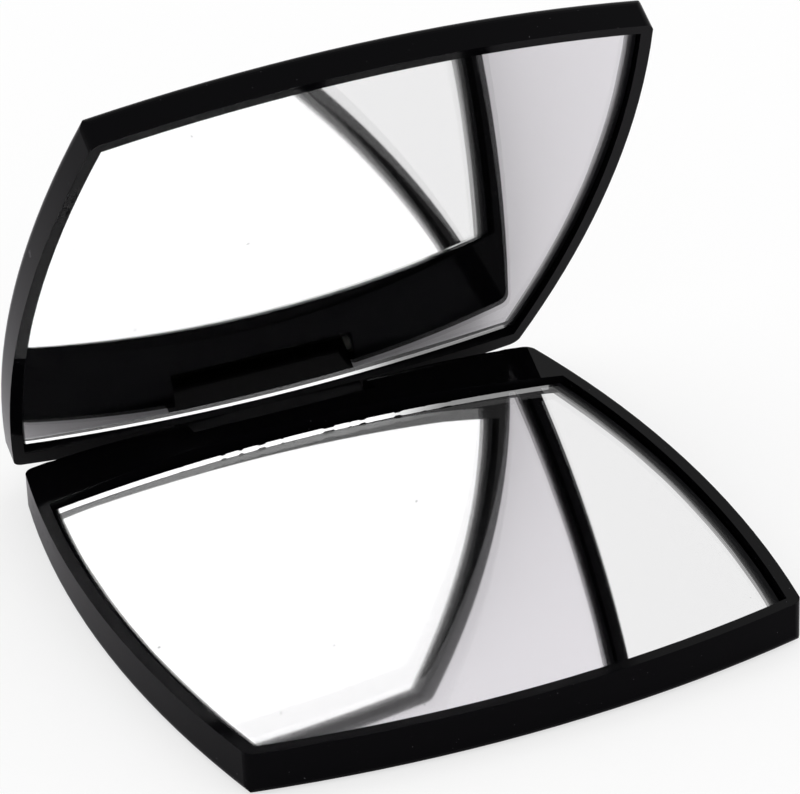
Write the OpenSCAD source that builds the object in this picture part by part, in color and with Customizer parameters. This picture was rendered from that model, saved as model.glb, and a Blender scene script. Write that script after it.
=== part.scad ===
// Folding pocket mirror: two shallow trays of one bowed outline, each with a mirror set below its
// rim, joined by one wide hinge knuckle. The lower tray lies on z = 0 with its middle at the origin,
// the front edge faces -Y, and the lid is drawn open at lid_angle.

/* [Outline] */
// Width from corner to corner
corner_w = 72.5; // [62:0.5:90]
// Depth from corner to corner
corner_d = 74.4; // [64:0.2:93]
// How far the left and right sides bow out past the corners
side_bow = 3.9; // [2.5:0.05:5]
// How far the front and rear edges bow out past the corners
end_bow = 3.9; // [3:0.1:5]
// Radius of the outline's corners, seen from above
corner_r = 1.8; // [1.7:0.1:2.6]

/* [Halves] */
// Height of the lower half, from its underside to its rim
base_h = 5.8; // [5.5:0.1:7]
// Height of the lid, from its rim to its back
lid_h = 4.45; // [4.3:0.05:6]
// Thickness of the lower cover's floor
base_floor_t = 1.1; // [0.9:0.05:1.2]
// Thickness of the lid cover's plate
lid_plate_t = 1; // [0.8:0.05:1.1]
// Radius of the rounded edge round each cover's plate
edge_r = 1.3; // [0.8:0.1:1.6]
// Opening left between the two rims when the lid is shut
rim_gap = 0.1; // [0.05:0.05:0.3]
// Angle between the two rims as drawn, 0 when shut
lid_angle = 56.8; // [0:0.2:110]

/* [Rims] */
// Width of the flat rim on the sides and front
rim_w = 1.6; // [1.5:0.1:2]
// Thickness of the rim's flange
flange_t = 1; // [0.8:0.1:1.2]
// Thickness of each cover's side wall
wall_t = 0.8; // [0.7:0.05:0.9]
// Room between a frame's skirt and its cover's wall
skirt_gap = 0.05; // [0.03:0.01:0.1]
// Depth of the lower frame's band behind its mirror, at the middle
base_band_w = 8.3; // [7.5:0.1:9.5]
// Depth of the lid frame's band behind its mirror, at the middle
lid_band_w = 3.8; // [3.4:0.1:4.2]
// How far the rear edge of the lower recess bows
base_recess_bow = 5.2; // [4:0.1:6]
// How far the rear edge of the lid recess bows
lid_recess_bow = 2.9; // [2:0.1:4]

/* [Mirrors] */
// Depth of the glass below the rim
recess_d = 0.75; // [0.5:0.05:1]
// Thickness of the mirror glass
glass_t = 1.25; // [0.8:0.05:1.4]
// Room between the lower glass and the wall at its sides and front
base_glass_gap = 0.6; // [0.3:0.05:1]
// Room behind the lower glass, at the middle
base_glass_back = 1.9; // [1:0.1:2.5]
// Room behind the lower glass, at its rear corners
base_glass_corner = 0.4; // [0.3:0.05:1]
// Room between the lid glass and the wall at its sides and front
lid_glass_gap = 0.15; // [0.1:0.05:0.5]
// Room behind the lid glass, at the middle
lid_glass_back = 0.2; // [0.1:0.05:0.5]
// Room behind the lid glass, at its rear corners
lid_glass_corner = 1.1; // [0.3:0.05:1.5]
// Width of the ground bevel round the glass
bevel_w = 1.1; // [0.4:0.1:1.5]
// Drop of the ground bevel at the glass's edge
bevel_drop = 0.12; // [0.05:0.01:0.3]
// Thickness of the adhesive pad behind each glass
pad_t = 0.3; // [0.2:0.05:0.4]
// How far the adhesive pad stays inside the glass's edge
pad_inset = 2; // [1:0.5:5]
// Thickness of the seat behind the lower mirror
base_seat_t = 0.9; // [0.7:0.05:1]
// Thickness of the seat behind the lid mirror
lid_seat_t = 0.8; // [0.6:0.05:0.9]

/* [Hinge] */
// Height of the hinge axis above the underside
axis_up = 1.37; // [1.35:0.01:1.5]
// How far the hinge axis lies behind the line of the rear corners
axis_back = 0.71; // [0.5:0.01:1]
// Width of the slot that the lid's knuckle turns in
slot_w = 26; // [20:0.5:32]
// Running gap between the knuckle and the sides of the slot
slot_gap = 0.1; // [0.08:0.01:0.15]
// Room between the knuckle's round and the front of the slot
slot_room = 0.3; // [0.1:0.05:0.5]
// Radius of the knuckle round the pin
knuckle_r = 1.32; // [1.25:0.01:1.35]
// How far the knuckle's root reaches before the axis
knuckle_front = 0.6; // [0.4:0.05:1]
// How far the knuckle's root reaches behind the axis
knuckle_root = 2.5; // [2.2:0.1:2.7]
// Radius of the steel pin
pin_r = 0.6; // [0.5:0.05:0.65]
// How far the pin reaches past each side of the slot
pin_reach = 4.5; // [3.5:0.1:6]
// Amount by which the pin is tighter than its hole in the knuckle
pin_press = 0.01; // [0.005:0.005:0.02]
// Running clearance round the pin in its bushes
pin_run = 0.02; // [0.01:0.01:0.05]
// Wall of the bush round each end of the pin
bush_wall = 0.35; // [0.3:0.05:0.4]

/* [Closure] */
// Radius of each magnet
magnet_r = 4; // [3:0.5:5]
// Distance from the middle to each magnet, sideways
magnet_x = 22; // [16:1:25]
// Distance from the front edge's corner line to each magnet
magnet_y = 7; // [6:0.5:12]
// Room round each magnet in its hole
magnet_gap = 0.15; // [0.05:0.05:0.3]

/* [Hidden] */

// Overrun of a cut past the face it goes through
cut = 1;
// Wall of the boxes that carry the pin's ends, and of the slot's front
boss_wall = 1;
// Where the knuckle's flat faces run into its round, as a share of the radius
heel_share = 0.97;
// How far each corner's round stands past the bowed edges, so that they cross cleanly
corner_lap = 0.006;
// Spare length of each bush past the end of the pin
bush_spare = 0.2;
// Steps in the rounded edge of a cover, and facets of large and small circles
edge_steps = 6;
large_fn = 360;
small_fn = 64;

// Radius of a bowed edge from its chord and its bow
function bow_radius(chord, bow) = (chord * chord / 4 + bow * bow) / (2 * bow);

// Outline: each edge is an arc, with its middle on the X or Y axis
side_r = bow_radius(corner_d, side_bow);
end_r = bow_radius(corner_w, end_bow);
side_mid = corner_w / 2 + side_bow;
end_mid = corner_d / 2 + end_bow;
side_c = side_mid - side_r;
end_c = end_mid - end_r;

// Middle of the circle that touches both arcs inside the rear right corner
c_side = side_r - corner_r;
c_end = end_r - corner_r;
c_span = norm([side_c, end_c]);
c_along = (c_side * c_side - c_end * c_end + c_span * c_span) / (2 * c_span);
c_off = sqrt(c_side * c_side - c_along * c_along);
corner_c = [
    side_c - side_c * c_along / c_span - end_c * c_off / c_span,
    end_c * c_along / c_span - side_c * c_off / c_span
];

// Where an arc meets the corner circle, for an outline drawn inset by some amount
function side_touch(inset) = [side_c, 0] + (side_r - inset) * (corner_c - [side_c, 0]) / c_side;
function end_touch(inset) = [0, end_c] + (end_r - inset) * (corner_c - [0, end_c]) / c_end;

// Depth of the seat that each mirror lies on, and of the frame's underside, from the rim
seat_d = recess_d + glass_t + pad_t;
base_skirt_d = seat_d + base_seat_t;
lid_skirt_d = seat_d + lid_seat_t;
skirt_inset = wall_t + skirt_gap;

// Rear edge of each recess, at the middle, and its arc
base_recess_rear = end_mid - base_band_w;
lid_recess_rear = end_mid - lid_band_w;
base_recess_r = bow_radius(corner_w, base_recess_bow);
lid_recess_r = bow_radius(corner_w, lid_recess_bow);

// Rear edge of each glass, at the middle, and its arc
base_glass_rear = base_recess_rear - base_glass_back;
lid_glass_rear = lid_recess_rear - lid_glass_back;
base_glass_r = bow_radius(corner_w, base_recess_bow - base_glass_back + base_glass_corner);
lid_glass_r = bow_radius(corner_w, lid_recess_bow - lid_glass_back + lid_glass_corner);

// Hinge axis, and how far the rims stay from it
axis_y = corner_d / 2 + axis_back;
axis_z = axis_up;
axis_drop = base_h - axis_up;
nose_r = axis_drop - slot_gap;
inner_nose_r = nose_r - flange_t;
slot_front = axis_y - knuckle_r - slot_room;
knuckle_w = slot_w - 2 * slot_gap;
knuckle_top = axis_drop + rim_gap + flange_t;
pin_len = slot_w + 2 * pin_reach;
bush_r = pin_r + pin_run + bush_wall;
bush_len = pin_reach + bush_spare;
boss_w = bush_len + boss_wall;
boss_back = inner_nose_r;

magnet_place = [magnet_x, magnet_y - corner_d / 2];
shell_col = [0.03, 0.03, 0.035];

// Side profile of a disc with its lower edge rounded, from the axis outwards
function dish(r, h, round) = concat(
    [[0, 0]],
    round > 0
        ? [for (i = [0 : edge_steps])
            [r - round + round * sin(90 * i / edge_steps), round - round * cos(90 * i / edge_steps)]]
        : [[r, 0]],
    [[r, h], [0, h]]
);

module disc(r, h, round, fn) {
    rotate_extrude($fn = fn) polygon(dish(r, h, round));
}

// The bowed outline as a solid of height h standing on z = 0, drawn in by inset
module bowed(inset, h, round = 0) {
    rounded = corner_r - inset;
    difference() {
        intersection() {
            translate([side_c, 0, 0]) disc(side_r - inset, h, round, large_fn);
            translate([-side_c, 0, 0]) disc(side_r - inset, h, round, large_fn);
            translate([0, end_c, 0]) disc(end_r - inset, h, round, large_fn);
            translate([0, -end_c, 0]) disc(end_r - inset, h, round, large_fn);
        }
        if (rounded > 0) for (sx = [-1, 1], sy = [-1, 1]) scale([sx, sy, 1]) corner_tip(inset, h, rounded);
    }
}

// What lies outside the rear right corner's round
module corner_tip(inset, h, rounded) {
    a = side_touch(inset);
    b = end_touch(inset);
    translate([0, 0, -cut]) difference() {
        linear_extrude(h + 2 * cut) polygon([a, [a.x + corner_r, b.y + corner_r], b]);
        translate([corner_c.x, corner_c.y, -cut])
            cylinder(r = rounded + corner_lap, h = h + 4 * cut, $fn = small_fn);
    }
}

// The mirror's outline: the bowed outline drawn in, with its own arc at the rear that ends at y = rear
module recess_shape(inset, h, rear, rear_r, chamfer_w = 0, chamfer_d = 0) {
    intersection() {
        translate([side_c, 0, 0]) plate_disc(side_r - inset, h, chamfer_w, chamfer_d);
        translate([-side_c, 0, 0]) plate_disc(side_r - inset, h, chamfer_w, chamfer_d);
        translate([0, -end_c, 0]) plate_disc(end_r - inset, h, chamfer_w, chamfer_d);
        translate([0, rear - rear_r, 0]) plate_disc(rear_r, h, chamfer_w, chamfer_d);
    }
}

// A disc whose upper edge is ground down over chamfer_w
module plate_disc(r, h, chamfer_w, chamfer_d) {
    cylinder(r = r, h = h - chamfer_d, $fn = large_fn);
    if (chamfer_d > 0)
        translate([0, 0, h - chamfer_d]) cylinder(r1 = r, r2 = r - chamfer_w, h = chamfer_d, $fn = large_fn);
}

// A cover: plate, rounded edge and side wall, rim side up, with the rim at z = 0
module cover_body(h, plate_t) {
    wall_h = h - flange_t;
    translate([0, 0, -h]) difference() {
        bowed(0, wall_h, edge_r);
        translate([0, 0, plate_t]) bowed(wall_t, wall_h);
    }
}

// A frame: flange, skirt, seat and recess, rim side up, with the rim at z = 0
module frame_body(skirt_d, rear, rear_r) {
    difference() {
        union() {
            translate([0, 0, -flange_t]) bowed(0, flange_t);
            translate([0, 0, -skirt_d]) bowed(skirt_inset, skirt_d - flange_t);
        }
        translate([0, 0, -seat_d]) recess_shape(rim_w, seat_d + cut, rear, rear_r);
    }
}

// The hollow under the rear band of the lower frame, between its skirt and the recess wall
module band_hollow() {
    hollow_h = base_skirt_d - flange_t;
    translate([0, 0, -base_skirt_d - cut]) difference() {
        bowed(rim_w, hollow_h + cut);
        translate([0, 0, -cut])
            recess_shape(wall_t, hollow_h + 3 * cut, base_recess_rear + rim_w - wall_t, base_recess_r);
    }
}

module glass(gap, rear, rear_r) {
    translate([0, 0, -recess_d - glass_t])
        recess_shape(rim_w + gap, glass_t, rear, rear_r, bevel_w, bevel_drop);
}

module pad(gap, rear, rear_r) {
    translate([0, 0, -seat_d]) recess_shape(rim_w + gap + pad_inset, pad_t, rear - pad_inset, rear_r);
}

// The magnets lie in round holes through each seat, behind the adhesive pads
module magnet_rounds(r, z0, z1) {
    for (s = [-1, 1]) translate([s * magnet_place.x, magnet_place.y, z0])
        cylinder(r = r, h = z1 - z0, $fn = small_fn);
}

// Places: the lower half stands on its floor, the lid turns about the hinge axis
module in_base() {
    translate([0, 0, base_h]) children();
}

module in_lid() {
    translate([0, axis_y, axis_z]) rotate([-lid_angle, 0, 0]) translate([0, -axis_y, -axis_z])
        translate([0, 0, base_h + rim_gap]) mirror([0, 0, 1]) children();
}

// A rod or drum of radius r on the hinge axis, from x0 to x1
module on_axis(r, x0, x1) {
    translate([x0, axis_y, axis_z]) rotate([0, 90, 0]) cylinder(r = r, h = x1 - x0, $fn = small_fn);
}

// What is cut off behind the axis so that the lid's rim can roll past at radius r
module nose_cut(r) {
    difference() {
        translate([-corner_w, axis_y, axis_z]) cube([2 * corner_w, corner_d, base_h + cut]);
        on_axis(r, -corner_w - cut, corner_w + cut);
    }
}

module knuckle_slot() {
    translate([-slot_w / 2, slot_front, -cut]) cube([slot_w, corner_d, base_h + 2 * cut]);
}

// Blocks on both sides of the slot, and its front wall, from z0 to z1
module bosses(z0, z1) {
    for (s = [-1, 1]) translate([s * (slot_w + boss_w) / 2 - boss_w / 2, slot_front - boss_wall, z0])
        cube([boss_w, axis_y + boss_back - slot_front + boss_wall, z1 - z0]);
}

module slot_front_wall(z0, z1) {
    translate([-slot_w / 2 - cut, slot_front - boss_wall, z0]) cube([slot_w + 2 * cut, boss_wall, z1 - z0]);
}

module bush_bores() {
    for (s = [-1, 1]) {
        near = s * (slot_w / 2 - cut);
        far = s * (slot_w / 2 + bush_len);
        on_axis(bush_r, min(near, far), max(near, far));
    }
}

module base_cover() {
    color(shell_col) difference() {
        union() {
            in_base() cover_body(base_h, base_floor_t);
            intersection() {
                union() {
                    bosses(base_floor_t - edge_r / 2, axis_z);
                    slot_front_wall(base_floor_t - edge_r / 2, base_h - flange_t);
                }
                bowed(wall_t / 2, base_h - flange_t);
            }
        }
        knuckle_slot();
        bush_bores();
        nose_cut(nose_r);
    }
}

module base_frame() {
    color(shell_col) difference() {
        union() {
            difference() {
                in_base() frame_body(base_skirt_d, base_recess_rear, base_recess_r);
                intersection() {
                    in_base() band_hollow();
                    union() {
                        translate([-corner_w, -corner_d, 0]) cube([2 * corner_w, corner_d + axis_y, base_h]);
                        on_axis(inner_nose_r, -corner_w, corner_w);
                    }
                }
            }
            intersection() {
                bosses(axis_z, base_h - flange_t);
                bowed(skirt_inset, base_h - flange_t);
            }
        }
        slot_clear();
        bush_bores();
        nose_cut(nose_r);
        in_base() magnet_rounds(magnet_r + magnet_gap, -base_skirt_d - cut, -seat_d + cut);
    }
}

// The slot as the frame sees it: the cover's front wall stands in it below the flange
module slot_clear() {
    knuckle_slot();
    front = slot_front - boss_wall - skirt_gap;
    translate([-slot_w / 2 - cut, front, -cut]) cube([slot_w + 2 * cut, corner_d, base_h - flange_t + cut]);
}

module base_mirror() {
    color([0.82, 0.84, 0.86]) in_base() glass(base_glass_gap, base_glass_rear, base_glass_r);
}

module base_mirror_pad() {
    color([0.9, 0.9, 0.88]) in_base() pad(base_glass_gap, base_glass_rear, base_glass_r);
}

module base_magnets() {
    color([0.55, 0.56, 0.58]) in_base() magnet_rounds(magnet_r, -base_skirt_d, -seat_d);
}

module lid_cover() {
    color(shell_col) in_lid() cover_body(lid_h, lid_plate_t);
}

// Where a flat face from corner p runs into the knuckle's round, on the side that turns by s
function round_touch(p, s) =
    let (reach = norm(p), turn = acos(knuckle_r / reach), u = p / reach)
    heel_share * knuckle_r * [u.x * cos(turn) + s * u.y * sin(turn), u.y * cos(turn) - s * u.x * sin(turn)];

// Outline of the knuckle seen along the hinge axis, with its root on the lid's flange
module knuckle_outline() {
    root = [knuckle_root, knuckle_top];
    front = [-knuckle_front, knuckle_top - flange_t];
    circle(r = knuckle_r, $fn = small_fn);
    polygon([
        [0, 0], round_touch(front, -1), front, [root.x - flange_t, front.y], [root.x - flange_t, root.y],
        root, round_touch(root, 1)
    ]);
}

module lid_frame() {
    color(shell_col) difference() {
        union() {
            in_lid() frame_body(lid_skirt_d, lid_recess_rear, lid_recess_r);
            translate([0, axis_y, axis_z]) rotate([-lid_angle, 0, 0]) rotate([90, 0, 90])
                translate([0, 0, -knuckle_w / 2]) linear_extrude(knuckle_w) knuckle_outline();
        }
        on_axis(pin_r - pin_press, -slot_w, slot_w);
        in_lid() magnet_rounds(magnet_r + magnet_gap, -lid_skirt_d - cut, -seat_d + cut);
    }
}

module lid_mirror() {
    color([0.82, 0.84, 0.86]) in_lid() glass(lid_glass_gap, lid_glass_rear, lid_glass_r);
}

module lid_mirror_pad() {
    color([0.9, 0.9, 0.88]) in_lid() pad(lid_glass_gap, lid_glass_rear, lid_glass_r);
}

module lid_magnets() {
    color([0.55, 0.56, 0.58]) in_lid() magnet_rounds(magnet_r, -lid_skirt_d, -seat_d);
}

module hinge_pin() {
    color([0.7, 0.71, 0.73]) on_axis(pin_r, -pin_len / 2, pin_len / 2);
}

module hinge_bushes() {
    color([0.85, 0.85, 0.82]) for (s = [-1, 1]) {
        near = s * slot_w / 2;
        far = s * (slot_w / 2 + bush_len);
        difference() {
            on_axis(bush_r, min(near, far), max(near, far));
            on_axis(pin_r + pin_run, min(near, far) - cut, max(near, far) + cut);
        }
    }
}

base_cover();
base_frame();
base_mirror();
base_mirror_pad();
base_magnets();
lid_cover();
lid_frame();
lid_mirror();
lid_mirror_pad();
lid_magnets();
hinge_pin();
hinge_bushes();
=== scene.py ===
# %% [markdown]
# # A folding compact mirror
#
# The object is a pocket mirror that folds like a book: two shallow black trays of one bowed
# outline, a sheet of mirror glass set below the rim of each, and one wide hinge knuckle between
# them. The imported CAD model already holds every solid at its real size, under its own name and on
# its own moving body. This script only dresses it: the CAD solids get their finishes, each glass
# gets its silver and its cut edges, and a white studio is built round the object.
#
# Lengths are in metres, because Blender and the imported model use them. Small sizes are easier to
# read in millimetres, so they are written as a number times MM, and the finishes work in
# millimetres throughout.

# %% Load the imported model
import math

import bmesh
import bpy
from mathutils import Matrix, Vector


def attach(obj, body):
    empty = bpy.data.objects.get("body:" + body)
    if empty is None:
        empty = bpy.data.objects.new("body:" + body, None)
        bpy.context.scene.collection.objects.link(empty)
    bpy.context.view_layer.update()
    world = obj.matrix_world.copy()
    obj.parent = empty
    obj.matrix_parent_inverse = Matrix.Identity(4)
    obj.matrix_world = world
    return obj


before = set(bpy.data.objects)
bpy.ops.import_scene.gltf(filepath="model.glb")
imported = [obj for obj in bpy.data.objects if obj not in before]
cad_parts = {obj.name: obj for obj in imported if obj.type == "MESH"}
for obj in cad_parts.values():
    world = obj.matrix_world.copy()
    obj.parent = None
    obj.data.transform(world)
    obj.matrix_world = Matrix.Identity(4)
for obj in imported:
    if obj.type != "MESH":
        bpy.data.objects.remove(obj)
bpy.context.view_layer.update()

MM = 0.001

# %% [markdown]
# ## The camera
#
# A small product is usually photographed from about half a metre with a long lens, which keeps its
# far edge almost as large as its near one. The place, turn and focal length below come from fitting
# the outlines of both trays to the picture, so they are plain numbers. The turn is written as three
# rotations: first a roll about the line of sight, then the tilt, then the heading.

# %% Place the camera
IMAGE_W = 800
FOCAL_PX = 4105.249
CAMERA_AT = Vector((-0.1747877, -0.4050147, 0.2651305))
HEADING, TILT, ROLL = -0.4089264, 1.0725420, -0.0395455
SENSOR_MM = 36.0
CLIP_NEAR, CLIP_FAR = 0.01, 20.0

camera = bpy.data.objects.new("camera", bpy.data.cameras.new("camera"))
bpy.context.collection.objects.link(camera)
turn = (Matrix.Rotation(HEADING, 3, "Z") @ Matrix.Rotation(TILT, 3, "X")
        @ Matrix.Rotation(ROLL, 3, "Z"))
camera.matrix_world = Matrix.Translation(CAMERA_AT) @ turn.to_4x4()
camera.data.sensor_width = SENSOR_MM
camera.data.lens = FOCAL_PX / IMAGE_W * SENSOR_MM
camera.data.clip_start, camera.data.clip_end = CLIP_NEAR, CLIP_FAR
bpy.context.scene.camera = camera
print("camera at", [round(v, 3) for v in CAMERA_AT], "lens", round(camera.data.lens, 1), "mm")

# %% [markdown]
# ## Writing materials as expressions
#
# A finish is a sum of small effects: a base colour, plus a little noise, minus something where the
# surface is worn. As shader nodes that would be a long list of links. The class below wraps one
# output socket, so that `1 - mask` or `grain * 0.2` adds the Math node it needs and returns the
# new socket. Every other kind of node comes from the one function `make`.
#
# Some nodes have several sockets of one name, of which only one is in use, and some answer through
# an output that isn't their first. Those sockets are picked by number, and the numbers have names.


# %% A socket that can be added and multiplied
COORD_NORMAL, COORD_OBJECT = 1, 3
VECTOR_A, VECTOR_B, VECTOR_OUT = 4, 5, 1
COLOUR_A, COLOUR_B, COLOUR_OUT = 6, 7, 2
NUMBER_OUT = 1
RAY_IS_CAMERA, RAY_IS_DIFFUSE = 0, 2


class Sock:
    """One output socket, on which + - * > < least and most build Math nodes."""

    def __init__(self, tree, socket):
        self.tree, self.socket = tree, socket

    def _math(self, kind, a, b):
        return make(self.tree, "ShaderNodeMath", {"operation": kind}, {0: a, 1: b})

    def __add__(self, other): return self._math("ADD", self, other)
    def __radd__(self, other): return self._math("ADD", other, self)
    def __sub__(self, other): return self._math("SUBTRACT", self, other)
    def __rsub__(self, other): return self._math("SUBTRACT", other, self)
    def __mul__(self, other): return self._math("MULTIPLY", self, other)
    def __gt__(self, other): return self._math("GREATER_THAN", self, other)
    def __lt__(self, other): return self._math("LESS_THAN", self, other)
    def least(self, other): return self._math("MINIMUM", self, other)
    def most(self, other): return self._math("MAXIMUM", self, other)


def make(tree, kind, settings=None, values=None, out=0):
    """A node with its settings and its sockets' values or links; returns one of its outputs."""
    node = tree.nodes.new(kind)
    for name, value in (settings or {}).items():
        setattr(node, name, value)
    for key, value in (values or {}).items():
        if isinstance(value, Sock):
            tree.links.new(value.socket, node.inputs[key])
        else:
            node.inputs[key].default_value = value
    return Sock(tree, node.outputs[out])


# %% [markdown]
# ## Helpers for the finishes
#
# Texture coordinates come from the object itself, turned into millimetres, so a scratch keeps its
# real size and stays on the part when the lid turns. The scale of a noise is then the number of
# its waves in a millimetre. `between` makes a soft step, which is how a smooth noise becomes a few
# separate specks or scratches. In the finishes below, a pair of numbers that is called a CUT says
# where in the noise such a mark begins and where it is full. `facing` tells one side of a solid
# from another by its normal.


# %% Materials and their shaders
def new_finish(name):
    """An empty material, its node tree and its Principled shader."""
    material = bpy.data.materials.new(name)
    material.use_nodes = True
    tree = material.node_tree
    shader = next(n for n in tree.nodes if n.type == "BSDF_PRINCIPLED")
    return material, tree, shader


def settle(shader, **values):
    """Sets plain values on the shader's own sockets, with _ for a space."""
    for name, value in values.items():
        shader.inputs[name.replace("_", " ")].default_value = value


def feed(tree, shader, **links):
    """Links expressions to the shader's sockets, with _ for a space."""
    for name, value in links.items():
        tree.links.new(value.socket, shader.inputs[name.replace("_", " ")])


def surface(tree, factor, first, second):
    """Shows a mix of two shaders on the material."""
    mixed = make(tree, "ShaderNodeMixShader", None, {0: factor, 1: first, 2: second})
    output = next(n for n in tree.nodes if n.type == "OUTPUT_MATERIAL")
    tree.links.new(mixed.socket, output.inputs["Surface"])


def dress(finish, *names):
    """Puts a material on CAD nodes."""
    for name in names:
        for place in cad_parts[name].material_slots:
            place.material = finish
    print(finish.name, "on", ", ".join(names))


# %% Coordinates, noise and soft steps
def in_mm(tree, stretch=(1, 1, 1), turn_by=(0, 0, 0), origin=(0, 0, 0)):
    """Object coordinates in millimetres, seen from origin, turned and then squeezed."""
    here = make(tree, "ShaderNodeTexCoord", out=COORD_OBJECT)
    return make(tree, "ShaderNodeMapping", {"vector_type": "TEXTURE"},
                {"Vector": here, "Location": origin, "Rotation": turn_by,
                 "Scale": tuple(s * MM for s in stretch)})


def parts_of(tree, vector):
    """The three numbers of a vector."""
    return [make(tree, "ShaderNodeSeparateXYZ", None, {0: vector}, out=k) for k in range(3)]


def noise(tree, where, scale, detail=2.0, rough=0.5):
    """Smooth noise from 0 to 1, mostly near a half."""
    return make(tree, "ShaderNodeTexNoise", None,
                {"Vector": where, "Scale": scale, "Detail": detail, "Roughness": rough})


def between(tree, value, low, high, start=0.0, end=1.0):
    """Goes smoothly from start to end while value goes from low to high."""
    return make(tree, "ShaderNodeMapRange", {"interpolation_type": "SMOOTHSTEP"},
                {"Value": value, "From Min": low, "From Max": high,
                 "To Min": start, "To Max": end})


def blend(tree, amount, colour_a, colour_b):
    """A colour that goes from colour_a, a colour or a socket, to the colour colour_b."""
    first = colour_a if isinstance(colour_a, Sock) else (*colour_a, 1.0)
    return make(tree, "ShaderNodeMix", {"data_type": "RGBA"},
                {"Factor": amount, COLOUR_A: first, COLOUR_B: (*colour_b, 1.0)}, out=COLOUR_OUT)


def bump(tree, height, depth_mm, strength=1.0):
    """A normal that makes height look like relief."""
    return make(tree, "ShaderNodeBump", None,
                {"Height": height, "Distance": depth_mm * MM, "Strength": strength})


def far_from(tree, where, spot):
    """How far each point is from one spot, in millimetres."""
    return make(tree, "ShaderNodeVectorMath", {"operation": "DISTANCE"},
                {0: where, 1: spot}, out=NUMBER_OUT)


def facing(tree, direction):
    """The object's own normal, and how squarely it looks in a direction, from -1 to 1."""
    normal = make(tree, "ShaderNodeTexCoord", out=COORD_NORMAL)
    return normal, make(tree, "ShaderNodeVectorMath", {"operation": "DOT_PRODUCT"},
                        {0: normal, 1: direction}, out=NUMBER_OUT)


# %% [markdown]
# ## Gloss black plastic
#
# Both trays and both frames are injection moulded in black ABS from polished tools, so they are
# glossy, nearly black, and show the room as soft pale gradients. Up close such plastic is not
# perfect: the skin has a faint orange-peel wave a millimetre or two long, a pocket adds hairline
# scratches in every direction, and grease from fingers makes patches that are slightly less sharp.
# Those are small changes in roughness and height. The scratches are noise squeezed along one axis
# and cut to thin lines. Only on the two flat outer faces, where the fingers press, does the
# grease also show as a faint gray haze, drawn out the way that a thumb wipes it.
#
# A knock leaves a nick, a small pale dent in an edge. Two can be seen on the real one, one on the
# left wall of each tray, so a nick is a spot with a ragged rim at a place given in millimetres.

# %% Scratches in the plastic
HAIR_TURNS = ((0.0, 0.2, 0.5), (0.3, 0.2, 1.9), (0.6, 0.2, 2.7))
HAIR_SIZE = (14.0, 0.35, 1.2)
HAIR_CUT = (0.70, 0.74)


def hairlines(tree, seed):
    """Thin scratches in three directions."""
    hairs = None
    for tilt, roll, heading in HAIR_TURNS:
        along = in_mm(tree, HAIR_SIZE, (tilt, roll, heading + seed))
        line = between(tree, noise(tree, along, 1.0, 1.0), *HAIR_CUT)
        hairs = line if hairs is None else hairs + line
    return hairs


# %% Make the plastic
PLASTIC_IOR, PLASTIC_SHINE, PLASTIC_ROUGH = 1.5, 0.035, 0.035
BLACK = (0.0018, 0.0017, 0.0022)
HAZE = (0.0085, 0.0082, 0.0092)
WORN = (0.05, 0.048, 0.052)
GREASE_SCALE, GREASE_VARIES, GREASE_CUT = 0.06, 0.01, (0.45, 0.7)
WORN_SCALE, WORN_CUT = 2.3, (0.77, 0.81)
NICK_SCALE, NICK_RAGGED, NICK_R = 2.2, 1.2, (0.75, 1.15)
WIPE_SIZE, WIPE_TILT, WIPE_ROLL, WIPE_HEADING = (30.0, 11.0, 18.0), 0.4, 0.3, 0.9
WIPE_SCALE, WIPE_ROUGH, WIPE_CUT = 0.9, 0.45, (0.38, 0.72)
HAZE_PALE, HAIR_PALE = 0.8, 0.5
FLAT = (0.95, 0.99)
GREASE_ROUGH, HAIR_ROUGH, WORN_ROUGH = 0.12, 0.10, 0.25
PEEL_SCALE, PEEL_DEPTH_MM, PEEL_STRENGTH = 0.55, 0.004, 0.6
HAIR_DEPTH, WORN_DEPTH = -0.05, -0.4


def moulded_black(name, seed, nick=None, flat_face=None):
    """Gloss black; seed varies its marks, nick is a place in mm, and flat_face is the way that
    a fingered face looks."""
    material, tree, shader = new_finish(name)
    settle(shader, IOR=PLASTIC_IOR, Specular_IOR_Level=PLASTIC_SHINE)
    here = in_mm(tree)
    patches = noise(tree, here, GREASE_SCALE + GREASE_VARIES * seed, 3.0)
    grease = between(tree, patches, *GREASE_CUT)
    hairs = hairlines(tree, seed)
    worn = between(tree, noise(tree, here, WORN_SCALE, 1.0), *WORN_CUT)
    if nick:
        ragged = far_from(tree, here, nick) + noise(tree, here, NICK_SCALE) * NICK_RAGGED
        worn = worn.most(between(tree, ragged, *NICK_R, start=1.0, end=0.0))
    colour = blend(tree, worn, BLACK, WORN)
    if flat_face:
        squarely = between(tree, facing(tree, flat_face)[1], *FLAT)
        smear = in_mm(tree, WIPE_SIZE, (WIPE_TILT, WIPE_ROLL, WIPE_HEADING + seed))
        streaks = noise(tree, smear, WIPE_SCALE, 3.0, WIPE_ROUGH)
        haze = between(tree, streaks, *WIPE_CUT) * squarely
        grease = grease.most(haze)
        rubbed = haze * HAZE_PALE + hairs * squarely * HAIR_PALE
        colour = blend(tree, rubbed.least(1.0), colour, HAZE)
    rough = PLASTIC_ROUGH + grease * GREASE_ROUGH + hairs * HAIR_ROUGH + worn * WORN_ROUGH
    skin = noise(tree, here, PEEL_SCALE, 1.0) + hairs * HAIR_DEPTH + worn * WORN_DEPTH
    feed(tree, shader, Base_Color=colour, Roughness=rough,
         Normal=bump(tree, skin, PEEL_DEPTH_MM, PEEL_STRENGTH))
    return material


# %% Put it on both trays
BASE_NICK = (-38.8, 22.2, 3.7)
LID_NICK = (-39.7, 16.3, 47.2)
BASE_OUTER_FACE = (0, 0, -1)
LID_OUTER_FACE = (0.0, 0.837, 0.548)

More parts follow.
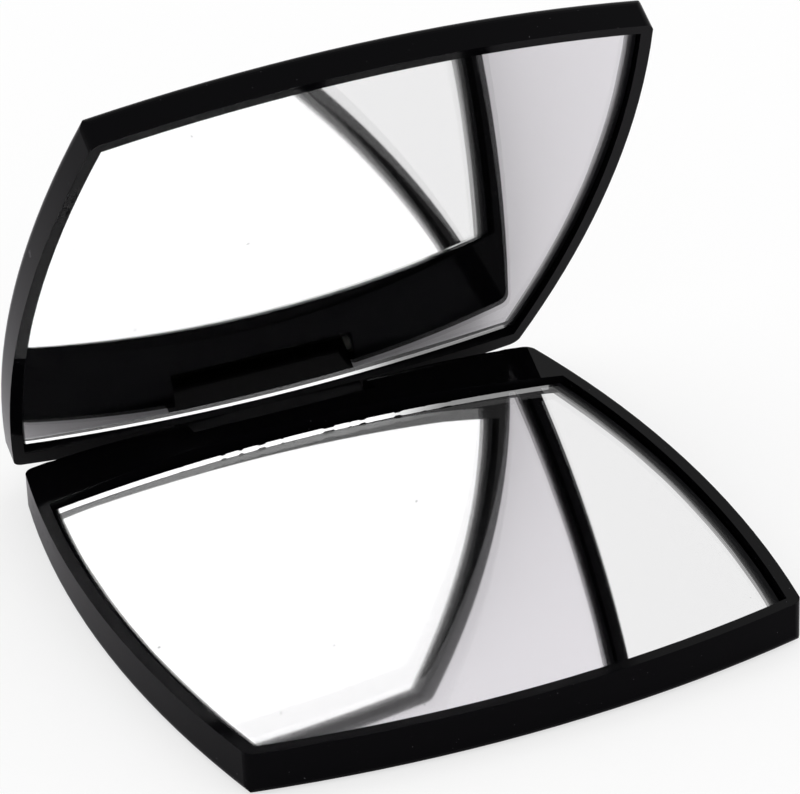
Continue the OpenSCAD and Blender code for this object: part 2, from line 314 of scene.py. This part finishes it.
dress(moulded_black("base_case_black", 0.0, BASE_NICK, BASE_OUTER_FACE), "base_cover")
dress(moulded_black("lid_case_black", 0.6, LID_NICK, LID_OUTER_FACE), "lid_cover")
dress(moulded_black("rim_black", 1.3), "base_frame", "lid_frame")

# %% [markdown]
# ## Mirror glass
#
# A real mirror is a clear sheet with silver behind it, and that shows: every reflection sits a
# little behind the front face, and near the cut rear edge the light bounces inside the glass, so
# that the edge lights up as a white line. A metallic plate can't do that. So the CAD plate gets
# clear glass with the refraction of soda-lime glass, and a thin silver sheet is set just inside
# its rear face.
#
# The glazier cuts the sheet by scoring and snapping it, which leaves small bites in the cut face
# at the rear, and then grinds the side edges by hand on a belt. The ground band has fine lines
# along the edge, and it is painted as a near-black matt fog, dense at the rim and thinner inwards:
# that darkness is painted shade, standing for the dark reflection along the glass's sides, widest
# on the right. Each edge of the plate is an arc, so how far a point is from that edge is the arc's
# radius less the point's distance from the arc's middle. The middles are given for the closed part,
# so the lid's coordinates are first turned back to where the closed lid lies. All of these sizes
# are the
# CAD source's own.
#
# In the table below, `ground` and `left` are the widths of the ground bands, with their painted
# dark shade, on the right and left edge, `bites` is the depth of the deepest bite below `top`, the
# front face's height at the edge, and all of them are in millimetres. `inward` points from the
# silver to the front face, and `outer` from the hinge to the far edge.

# %% Where the arcs of each glass edge are
LID_ANGLE = math.radians(56.8)
LID_TURN = Matrix.Rotation(-LID_ANGLE, 3, "X")
HINGE_AT = Vector((0.0, 37.91, 1.37)) * MM
SIDE_ARC_MIDDLE = 139.215

GLASS = {
    "base_mirror": {"inward": Vector((0, 0, 1)), "outer": Vector((0, -1, 0)),
                    "origin": Vector((0, 0, 0)), "turned": 0.0,
                    "side_r": 177.165, "rear_r": 179.426, "rear_middle": -148.526,
                    "ground": 1.5, "left": 0.55, "bites": 0.46, "top": 4.93},
    "lid_mirror": {"inward": LID_TURN @ Vector((0, 0, -1)), "outer": LID_TURN @ Vector((0, -1, 0)),
                   "origin": HINGE_AT - LID_TURN @ HINGE_AT, "turned": -LID_ANGLE,
                   "side_r": 177.615, "ground": 1.25, "left": 0.35, "bites": 0.0},
}
print("lid glass faces", [round(v, 3) for v in GLASS["lid_mirror"]["inward"]])


# %% [markdown]
# The CAD plate has a narrow ground slope round its front. On the real glass the slope can't be
# told from the face, except on the fogged sides, so the front and the slope are shaded with one
# level normal. A ray that comes from inside the glass sees the normal turned round, and `sign`
# keeps the level normal on the same side.


# %% Level the front of the glass
SAME_FACE = 0.98


def level_front(tree, inward):
    """The normal, made level wherever it is within 11 degrees of the front's own."""
    normal, squarely = facing(tree, inward)
    sign = make(tree, "ShaderNodeMath", {"operation": "SIGN"}, {0: squarely})
    level = make(tree, "ShaderNodeVectorMath", {"operation": "SCALE"}, {0: inward, "Scale": sign})
    mixed = make(tree, "ShaderNodeMix", {"data_type": "VECTOR"},
                 {"Factor": squarely * sign > SAME_FACE, VECTOR_A: normal, VECTOR_B: level},
                 out=VECTOR_OUT)
    return make(tree, "ShaderNodeVectorTransform",
                {"vector_type": "NORMAL", "convert_from": "OBJECT", "convert_to": "WORLD"},
                {0: mixed})


# %% [markdown]
# The dark fog of a ground side is painted shade. It thins out from its rim to its inner border,
# which wanders a little. The belt's lines are noise that changes fast across the edge and slowly
# along it. The bites are noise that changes only along the edge, and they are deepest where the cut
# started badly, in the middle of its length.


# %% Fog the ground sides with painted dark shade
BELT_LINES = (7.0, 0.06)
LINE_WEIGHT = 0.5
DENSE_PART, THINNEST = 0.3, 0.55
WANDER_SCALE, WANDER, FOG_SPARE = 0.09, 0.25, 0.12


def ground_sides_painted_dark(tree, here, plate):
    """Where the belt has fogged the left and right edges, painted dark as shade that is densest at
    the rim.
    """
    flat = make(tree, "ShaderNodeVectorMath", {"operation": "MULTIPLY"}, {0: here, 1: (1, 1, 0)})
    y = parts_of(tree, here)[1]
    fog_painted_dark = None
    for middle, width in ((-SIDE_ARC_MIDDLE, plate["ground"]), (SIDE_ARC_MIDDLE, plate["left"])):
        inset = plate["side_r"] - far_from(tree, flat, (middle, 0, 0))
        lines = make(tree, "ShaderNodeCombineXYZ", None,
                     {0: inset * BELT_LINES[0], 1: y * BELT_LINES[1]})
        wander = noise(tree, here, WANDER_SCALE, 1.0) * WANDER
        # Painted shade: the band is made darkest at the rim and lighter inwards.
        painted_darkness = between(tree, inset, DENSE_PART * width, width, 1.0, THINNEST)
        painted_darkness = painted_darkness + (noise(tree, lines, 1.0) - 0.5) * LINE_WEIGHT
        painted_dark_band = painted_darkness.least(1.0) * (inset + wander < width + FOG_SPARE)
        fog_painted_dark = painted_dark_band if fog_painted_dark is None else fog_painted_dark.most(painted_dark_band)
    return fog_painted_dark


# %% Bite the cut edge
ROUGH_FROM, ROUGH_TO = (-20.0, -12.0), (16.0, 24.0)
BITE_SCALE, BITE_CUT = 0.42, (0.50, 0.60)
NIBBLE_SCALE, NIBBLE_DEPTH = 1.1, 0.25
CUT_FACE = 0.03


def bitten_rear(tree, here, plate):
    """Where the snapped rear face has lost its polish."""
    flat = make(tree, "ShaderNodeVectorMath", {"operation": "MULTIPLY"}, {0: here, 1: (1, 1, 0)})
    x, _, height = parts_of(tree, here)
    inset = plate["rear_r"] - far_from(tree, flat, (0, plate["rear_middle"], 0))
    spot = make(tree, "ShaderNodeCombineXYZ", None, {0: x})
    rough_part = (between(tree, x, *ROUGH_FROM)
                  * between(tree, x, *ROUGH_TO, start=1.0, end=0.0))
    bite = between(tree, noise(tree, spot, BITE_SCALE), *BITE_CUT)
    nibble = noise(tree, spot, NIBBLE_SCALE) * NIBBLE_DEPTH
    depth = bite * plate["bites"] * rough_part + nibble
    return (inset < CUT_FACE) * (height + depth > plate["top"])


# %% Make the glass
WHITE = (1.0, 1.0, 1.0, 1.0)
GLASS_IOR = 1.52
# Near-black matt finish: on the ground sides it is painted shade for the dark reflection there, and
# the bites share it.
FOG_PAINTED_DARK = {"Base Color": (0.004, 0.004, 0.005, 1.0), "Roughness": 0.6, "Specular IOR Level": 0.05}


def mirror_glass(name, plate):
    """Clear glass, with a matt near-black finish where its edges are ground or bitten; on the
    ground sides that darkness is painted shade.
    """
    material, tree, shader = new_finish(name)
    settle(shader, IOR=GLASS_IOR, Transmission_Weight=1.0, Base_Color=WHITE, Roughness=0.0)
    here = in_mm(tree, turn_by=(plate["turned"], 0, 0), origin=plate["origin"])
    fog_painted_dark = ground_sides_painted_dark(tree, here, plate)
    if plate["bites"]:
        fog_painted_dark = fog_painted_dark.most(bitten_rear(tree, here, plate))
    feed(tree, shader, Normal=level_front(tree, plate["inward"]))
    # Painted shade: this near-black matt finish darkens the ground sides, and the bites share it.
    ground = make(tree, "ShaderNodeBsdfPrincipled", None, FOG_PAINTED_DARK)
    surface(tree, fog_painted_dark, Sock(tree, shader.outputs[0]), ground)
    return material


for node, plate in GLASS.items():
    dress(mirror_glass(node + "_glass", plate), node)

# %% [markdown]
# ## The silver
#
# The silvering is a film far thinner than paper on the back of the glass, under a coat of paint.
# Its sheet takes its outline from the CAD plate itself: the rim of the faces that look away from
# the viewer is walked once round, and filled with rings that shrink to the middle. Its lowest
# corner is set a hundredth of a millimetre into the glass, so that the light meets the sheet from
# inside, as it does in a real mirror. Neither glass is perfectly even, so each silver sheet leans
# by about three tenths of a degree. That can hardly be seen in the first reflection, but it moves
# the second one, where each tray shows itself in the other.

# %% Walk round the rear face of each glass plate
SAME_SPOT = 0.001 * MM
LOOKS_AWAY = -0.99


def rear_rim(node, inward):
    """The corners round the rear face of a CAD plate, in order."""
    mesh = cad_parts[node].data
    spots, sides = {}, set()
    for face in mesh.polygons:
        if face.normal.dot(inward) < LOOKS_AWAY:
            corners = []
            for i in face.vertices:
                key = tuple(round(v / SAME_SPOT) for v in mesh.vertices[i].co)
                spots[key] = mesh.vertices[i].co.copy()
                corners.append(key)
            sides.update((a, b) for a, b in zip(corners, corners[1:] + corners[:1]) if a != b)
    follows = {a: b for a, b in sides if (b, a) not in sides}
    start = min(follows)
    walk, now = [spots[start]], follows[start]
    while now != start:
        walk.append(spots[now])
        now = follows[now]
    return walk


# %% Build the silver sheets
SILVER_IN = 0.01 * MM
RINGS = 16
SILVER_ROLL = {"base_mirror": math.radians(0.0), "lid_mirror": math.radians(0.2)}
SILVER_TILT = {"base_mirror": math.radians(-0.28), "lid_mirror": math.radians(0.22)}


def silver_sheet(node, plate):
    """A leaning sheet just inside the rear face of a plate, riding on the plate's own body."""
    inward, outer = plate["inward"], plate["outer"]
    rim = rear_rim(node, inward)
    middle = sum(rim, Vector()) / len(rim)
    count = len(rim)

    def lean(spot):
        return (-spot.x * math.tan(SILVER_ROLL[node])
                - spot.dot(outer) * math.tan(SILVER_TILT[node]))

    lowest = min(lean(p) for p in rim)

    def lift(spot):
        return spot + inward * (SILVER_IN + lean(spot) - lowest)

    sheet = bmesh.new()
    rows = [[sheet.verts.new(lift(middle + (p - middle) * (1 - k / RINGS))) for p in rim]
            for k in range(RINGS)]
    centre = sheet.verts.new(lift(middle))
    for wide, narrow in zip(rows, rows[1:]):
        for i in range(count):
            j = (i + 1) % count
            sheet.faces.new((wide[i], wide[j], narrow[j], narrow[i]))
    for i in range(count):
        sheet.faces.new((rows[-1][i], rows[-1][(i + 1) % count], centre))
    mesh = bpy.data.meshes.new(node + "_silver")
    sheet.to_mesh(mesh)
    sheet.free()
    piece = bpy.data.objects.new(node + "_silver", mesh)
    bpy.context.collection.objects.link(piece)
    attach(piece, node.split("_")[0])
    print(piece.name, len(mesh.polygons), "faces, rim of", count)
    return piece


# %% [markdown]
# Silver returns nearly all the light, and cheap mirror glass is not quite flat, so what it shows
# twice is softer than what it shows once. A very small roughness does that. What is left to see
# are pinholes and faint gray spots, where damp has got behind the paint.


# %% Make the silver's finish
SILVER_BLUR = 0.016
SILVER_COLOUR = (0.995, 0.993, 0.996)
SPOT_COLOUR = (0.6, 0.6, 0.6)
SPOT_SCALE, SPOT_CUT = 1.1, (0.81, 0.84)


def silver():
    """Silver with a few small gray spots."""
    material, tree, shader = new_finish("silver")
    settle(shader, Metallic=1.0, Roughness=SILVER_BLUR)
    spots = between(tree, noise(tree, in_mm(tree), SPOT_SCALE, 1.0), *SPOT_CUT)
    feed(tree, shader, Base_Color=blend(tree, spots, SILVER_COLOUR, SPOT_COLOUR))
    return material


silver_finish = silver()
for node, plate in GLASS.items():
    silver_sheet(node, plate).data.materials.append(silver_finish)

# %% [markdown]
# ## What is hidden inside
#
# Behind each glass lies a pad of white foam tape, in holes through the front corners of each seat
# sit the nickel-plated magnets that keep the trays shut, and the knuckle turns on a ground steel
# pin in two bushes of white acetal. None of them shows at rest, but each still has its own finish:
# foam is a crowd of small cells, plated metal has a soft satin grain from tumbling, a ground pin
# is lined round its length, and acetal is milky, with faint flow marks from the mould.

# %% White foam tape
FOAM_DARK, FOAM_LIGHT = (0.62, 0.62, 0.58), (0.85, 0.85, 0.82)
FOAM_ROUGH = 0.85
CELL_SCALE, CELL_CUT, CELL_DEPTH_MM = 3.2, (0.05, 0.6), 0.08


def foam():
    """A crowd of small cells, each darker towards its middle."""
    material, tree, shader = new_finish("pad_foam")
    settle(shader, Roughness=FOAM_ROUGH)
    cells = make(tree, "ShaderNodeTexVoronoi", None, {"Vector": in_mm(tree), "Scale": CELL_SCALE})
    feed(tree, shader,
         Base_Color=blend(tree, between(tree, cells, *CELL_CUT), FOAM_DARK, FOAM_LIGHT),
         Normal=bump(tree, cells, CELL_DEPTH_MM))
    return material


# %% Nickel and steel
NICKEL, STEEL = (0.62, 0.60, 0.56), (0.56, 0.57, 0.59)
TUMBLED, LINED_ROUND = (1, 1, 1), (0.2, 4.0, 4.0)
GRAIN_SCALE, GRAIN_DEPTH_MM, GRAIN_STRENGTH = 6.0, 0.004, 0.5
STAIN_SCALE, STAIN_CUT, STAIN_DARK = 0.5, (0.5, 0.7), 0.8
METAL_ROUGH, GRAIN_ROUGH, STAIN_ROUGH = 0.16, 0.16, 0.08


def plated(name, colour, stretch):
    """Metal with its grain drawn out by stretch, and duller stains."""
    material, tree, shader = new_finish(name)
    settle(shader, Metallic=1.0)
    grain = noise(tree, in_mm(tree, stretch), GRAIN_SCALE, 3.0)
    stains = between(tree, noise(tree, in_mm(tree), STAIN_SCALE), *STAIN_CUT)
    feed(tree, shader,
         Base_Color=blend(tree, stains, colour, tuple(STAIN_DARK * c for c in colour)),
         Roughness=METAL_ROUGH + grain * GRAIN_ROUGH + stains * STAIN_ROUGH,
         Normal=bump(tree, grain, GRAIN_DEPTH_MM, GRAIN_STRENGTH))
    return material


# %% White acetal
ACETAL_DARK, ACETAL_LIGHT = (0.70, 0.70, 0.66), (0.82, 0.82, 0.78)
ACETAL_IOR, ACETAL_ROUGH = 1.48, 0.35
FLOW_SIZE, FLOW_SCALE, FLOW_ROUGH = (3.0, 0.6, 0.6), 1.2, 0.15
FLOW_DEPTH_MM, FLOW_STRENGTH = 0.01, 0.5


def acetal():
    """Milky, with flow marks along the bush."""
    material, tree, shader = new_finish("bush_acetal")
    settle(shader, IOR=ACETAL_IOR)
    flow = noise(tree, in_mm(tree, FLOW_SIZE), FLOW_SCALE, 3.0)
    feed(tree, shader,
         Base_Color=blend(tree, flow, ACETAL_DARK, ACETAL_LIGHT),
         Roughness=ACETAL_ROUGH + flow * FLOW_ROUGH,
         Normal=bump(tree, flow, FLOW_DEPTH_MM, FLOW_STRENGTH))
    return material


# %% Put them on the hidden pieces
dress(foam(), "base_mirror_pad", "lid_mirror_pad")
dress(plated("magnet_nickel", NICKEL, TUMBLED), "base_magnets", "lid_magnets")
dress(plated("ground_pin_steel", STEEL, LINED_ROUND), "hinge_pin")
dress(acetal(), "hinge_bushes")

# %% [markdown]
# ## Floor and light
#
# The picture was taken on a white table in a white room, with one large soft light to the front
# right. A mirror shows its room, so the room matters as much as the lamps: the big areas of both
# glasses show the soft light after several bounces, and the grayer areas show the table and the
# wall behind. The room's brightness depends on the direction that a ray looks in: FRONT, RIGHT and
# ABOVE each say over which part of that direction the lamp, or the dark side where the camera
# stands, fades in. Plain surfaces are lit by an even white of strength one, so that a colour on
# the object renders as it is written.
#
# To the camera itself the floor and the room are plain white, through Light Path. About a third of
# the floor's white is lit and the rest is its own, so a soft, faint shadow of the object stays on
# it.

# %% Lay the floor
FLOOR_SIZE = 3.0
FLOOR_IN_MIRRORS = (0.82, 0.80, 0.83, 1.0)
SHADOW_SHARE = 0.35

floor_mesh = bpy.data.meshes.new("floor")
shape = bmesh.new()
bmesh.ops.create_grid(shape, x_segments=1, y_segments=1, size=FLOOR_SIZE)
shape.to_mesh(floor_mesh)
shape.free()
floor = bpy.data.objects.new("floor", floor_mesh)
bpy.context.collection.objects.link(floor)


# %% Make the paper
def floor_paper():
    """White paper with its shadow for the camera, and pale gray for every other ray."""
    material, tree, shader = new_finish("floor_paper")
    settle(shader, Base_Color=FLOOR_IN_MIRRORS, Roughness=0.9, Specular_IOR_Level=0.0)
    lit = make(tree, "ShaderNodeBsdfDiffuse", None, {"Color": WHITE})
    white = make(tree, "ShaderNodeEmission", None, {"Color": WHITE, "Strength": 1.0})
    seen = make(tree, "ShaderNodeMixShader", None, {0: SHADOW_SHARE, 1: white, 2: lit})
    is_camera = make(tree, "ShaderNodeLightPath", out=RAY_IS_CAMERA)
    surface(tree, is_camera, Sock(tree, shader.outputs[0]), seen)
    return material


floor_mesh.materials.append(floor_paper())
print("floor laid at z = 0,", 2 * FLOOR_SIZE, "m wide")

# %% Light the room
ROOM = 0.86
SOFT_LIGHT = 0.42
CAMERA_SIDE = -0.55
FRONT, RIGHT, ABOVE = (-0.35, -0.55), (0.16, 0.26), (0.08, 0.18)

world = bpy.data.worlds.new("studio")
bpy.context.scene.world = world
world.use_nodes = True
sky = world.node_tree
look_x, look_y, look_z = parts_of(sky, make(sky, "ShaderNodeTexCoord"))
front = between(sky, look_y, *FRONT)
right = between(sky, look_x, *RIGHT)
above = between(sky, look_z, *ABOVE)
room = ROOM + front * right * above * SOFT_LIGHT + front * (1 - right) * above * CAMERA_SIDE
is_camera = make(sky, "ShaderNodeLightPath", out=RAY_IS_CAMERA)
is_diffuse = make(sky, "ShaderNodeLightPath", out=RAY_IS_DIFFUSE)
plain = is_camera.most(is_diffuse)
strength = room * (1 - plain) + plain
background = next(n for n in sky.nodes if n.type == "BACKGROUND")
background.inputs["Color"].default_value = WHITE
sky.links.new(strength.socket, background.inputs["Strength"])
print("room", ROOM, "soft light", ROOM + SOFT_LIGHT, "camera side", round(ROOM + CAMERA_SIDE, 2))

# %% [markdown]
# ## Finish
#
# Colours are shown with the plain Standard view.

# %% Finish
bpy.context.scene.view_settings.view_transform = "Standard"
